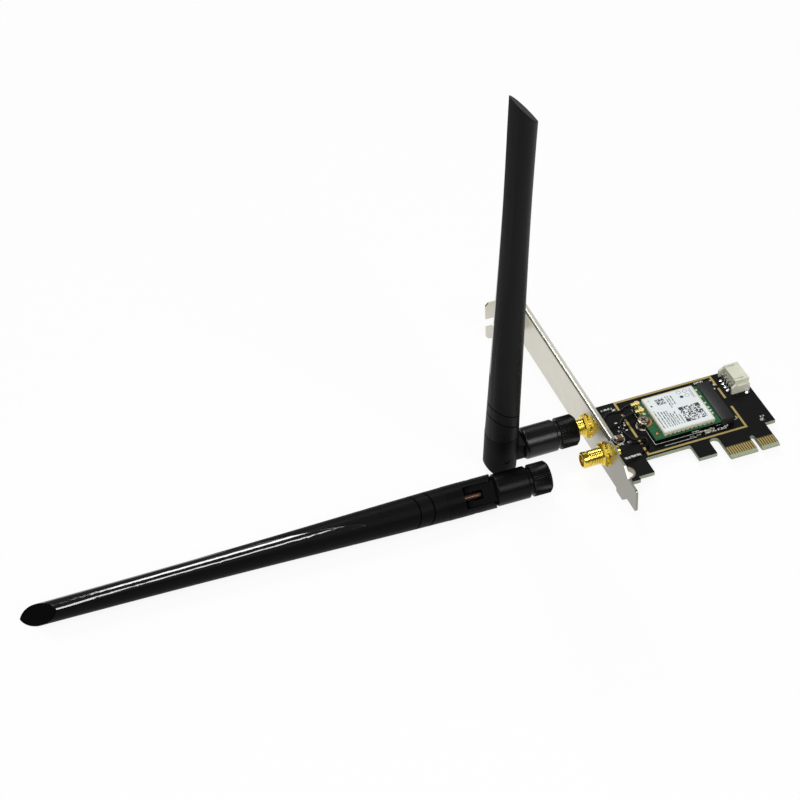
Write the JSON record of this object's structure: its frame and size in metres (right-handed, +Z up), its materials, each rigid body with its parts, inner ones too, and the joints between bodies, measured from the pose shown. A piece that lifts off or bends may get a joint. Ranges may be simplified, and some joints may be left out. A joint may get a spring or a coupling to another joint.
{
  "type": "plug-in wireless network card",
  "caption": "Plug-in wireless network card with a slot bracket, a shielded radio module on a black board and hinged stick antennas that screw onto threaded jacks.",
  "frame": {"origin": "on the plane of the bracket's outer face, level with the tips of the edge contacts and with the component side of the board", "axes": "+X from the bracket towards the rear of the board, +Y along the bracket towards its mounting flange, +Z up from the component side"},
  "size_m": [0.2955, 0.12, 0.1791],
  "materials": {
    "nickel_sheet": "plated, satin",
    "board_black": "black solder mask, satin",
    "gold_plate": "gold plated, bright",
    "gold_brass": "gold plated, bright",
    "brass_core": "turned, bright",
    "module_green": "green solder mask, satin",
    "shield_tin": "tinned, satin",
    "label_white": "matt",
    "steel": "plated",
    "solder_tin": "tinned",
    "socket_dark": "moulded, matt",
    "header_white": "moulded, cream white",
    "chip_dark": "matt",
    "capacitor_brown": "matt",
    "insulator_white": "smooth",
    "cable_black": "smooth",
    "cable_brown": "smooth jacket",
    "antenna_black": "moulded, part fine texture and part gloss"
  },
  "bodies": {
    "card": {"bracket": "nickel_sheet", "circuit_board": "board_black", "edge_contacts": "gold_plate", "ground_stripe": "gold_plate", "mounting_ring": "gold_plate", "coax_plugs": "gold_plate", "coax_receptacles": "gold_plate", "jack_1_pin": "gold_plate", "jack_2_pin": "gold_plate", "jack_1_body": "gold_brass", "jack_2_body": "gold_brass", "jack_1_nut": "gold_brass", "jack_2_nut": "gold_brass", "jack_1_washer": "gold_brass", "jack_2_washer": "gold_brass", "antenna_2_ferrule": "brass_core", "antenna_2_contact": "brass_core", "module_standoff": "brass_core", "module_board": "module_green", "module_shield": "shield_tin", "module_label": "label_white", "module_screw": "steel", "board_screw": "steel", "socket_leads": "solder_tin", "header_pins": "solder_tin", "header_tabs": "solder_tin", "chip_ends": "solder_tin", "module_socket": "socket_dark", "header_housing": "header_white", "radio_chips": "chip_dark", "chip_bodies": "chip_dark", "capacitor_body": "capacitor_brown", "jack_1_insulator": "insulator_white", "jack_2_insulator": "insulator_white", "antenna_2_insulator": "insulator_white", "pigtail_1": "cable_black", "pigtail_2": "cable_black", "antenna_2_base_coax": "cable_brown", "antenna_2_base": "antenna_black"},
    "antenna_1_swivel": {"antenna_1_base": "antenna_black", "antenna_1_ferrule": "brass_core", "antenna_1_insulator": "insulator_white", "antenna_1_contact": "brass_core", "antenna_1_base_coax": "cable_brown"},
    "antenna_1_arm": {"antenna_1_knuckle": "antenna_black", "antenna_1_hinge_pins": "antenna_black", "antenna_1_blade": "antenna_black", "antenna_1_blade_coax": "cable_brown", "antenna_1_radiator": "brass_core"},
    "antenna_1_coupling": {"antenna_1_collar": "antenna_black", "antenna_1_nut": "brass_core"},
    "antenna_2_arm": {"antenna_2_knuckle": "antenna_black", "antenna_2_hinge_pins": "antenna_black", "antenna_2_blade": "antenna_black", "antenna_2_blade_coax": "cable_brown", "antenna_2_radiator": "brass_core"},
    "antenna_2_coupling": {"antenna_2_collar": "antenna_black", "antenna_2_nut": "brass_core"}
  },
  "joints": [
    {"name": "antenna_1_turn", "type": "hinge", "parent": "card", "child": "antenna_1_swivel", "pos_m": [-0.02, 0.03303, 0.00458], "axis": [1, 0, 0], "range_deg": [-96, 34]},
    {"name": "antenna_1_tilt", "type": "hinge", "parent": "antenna_1_swivel", "child": "antenna_1_arm", "pos_m": [-0.03569, 0.03303, 0.00458], "axis": [0, 0.9944, 0.1054], "range_deg": [-91.3, 0.7]},
    {"name": "antenna_1_nut_spin", "type": "hinge", "parent": "card", "child": "antenna_1_coupling", "pos_m": [-0.009, 0.03303, 0.00458], "axis": [1, 0, 0], "continuous": true},
    {"name": "antenna_2_tilt", "type": "hinge", "parent": "card", "child": "antenna_2_arm", "pos_m": [-0.0545, 0.01532, 0.0026], "axis": [0.0122, 0.707, 0.7071], "range_deg": [0, 92]},
    {"name": "antenna_2_nut_spin", "type": "hinge", "parent": "card", "child": "antenna_2_coupling", "pos_m": [-0.02751, 0.01457, 0.00289], "axis": [0.9996, -0.0279, 0.0107], "continuous": true}
  ]
}
